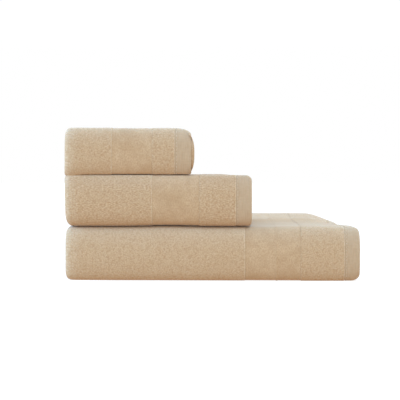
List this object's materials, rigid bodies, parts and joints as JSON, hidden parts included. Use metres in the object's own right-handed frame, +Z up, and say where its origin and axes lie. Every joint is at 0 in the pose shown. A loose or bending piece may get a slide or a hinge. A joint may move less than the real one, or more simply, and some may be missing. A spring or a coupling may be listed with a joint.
{
  "type": "folded bath towel set",
  "caption": "Terry towels of graded sizes, each folded in quarters and then in thirds and stacked by size, with woven borders and stitched hems at their right ends.",
  "frame": {"origin": "middle of the rectangle that the folded set stands on, at the underside of the bath towel", "axes": "+X along the folded length, from the folded left ends to the hemmed right ends; +Y from the front edge to the back; +Z up"},
  "size_m": [0.35, 0.25, 0.1826],
  "materials": {
    "terry": "looped cotton terry pile, warm beige",
    "woven_border": "flat woven cotton border, fine velvety grain",
    "hem": "flat woven cotton hem, fine cross ribs",
    "thread": "cotton lockstitch thread"
  },
  "bodies": {
    "bath_towel": {"bath_terry_field": "terry", "bath_woven_border": "woven_border", "bath_terry_band": "terry", "bath_end_hem": "hem", "bath_end_seam": "thread", "bath_far_border": "woven_border", "bath_far_band": "terry", "bath_far_hem": "hem", "bath_far_seam": "thread", "bath_rear_side_hem": "hem", "bath_rear_side_seam": "thread", "bath_inner_side_hem": "hem", "bath_inner_side_seam": "thread"},
    "hand_towel": {"hand_terry_field": "terry", "hand_woven_border": "woven_border", "hand_terry_band": "terry", "hand_end_hem": "hem", "hand_end_seam": "thread", "hand_far_border": "woven_border", "hand_far_band": "terry", "hand_far_hem": "hem", "hand_far_seam": "thread", "hand_rear_side_hem": "hem", "hand_rear_side_seam": "thread", "hand_inner_side_hem": "hem", "hand_inner_side_seam": "thread"},
    "guest_towel": {"guest_terry_field": "terry", "guest_woven_border": "woven_border", "guest_terry_band": "terry", "guest_end_hem": "hem", "guest_end_seam": "thread", "guest_far_border": "woven_border", "guest_far_band": "terry", "guest_far_hem": "hem", "guest_far_seam": "thread", "guest_rear_side_hem": "hem", "guest_rear_side_seam": "thread", "guest_inner_side_hem": "hem", "guest_inner_side_seam": "thread"}
  },
  "joints": [
    {"name": "hand_towel_lift", "type": "slide", "parent": "bath_towel", "child": "hand_towel", "axis": [0, 0, 1], "range_m": [0, 0.15]},
    {"name": "guest_towel_lift", "type": "slide", "parent": "hand_towel", "child": "guest_towel", "axis": [0, 0, 1], "range_m": [0, 0.15]}
  ]
}
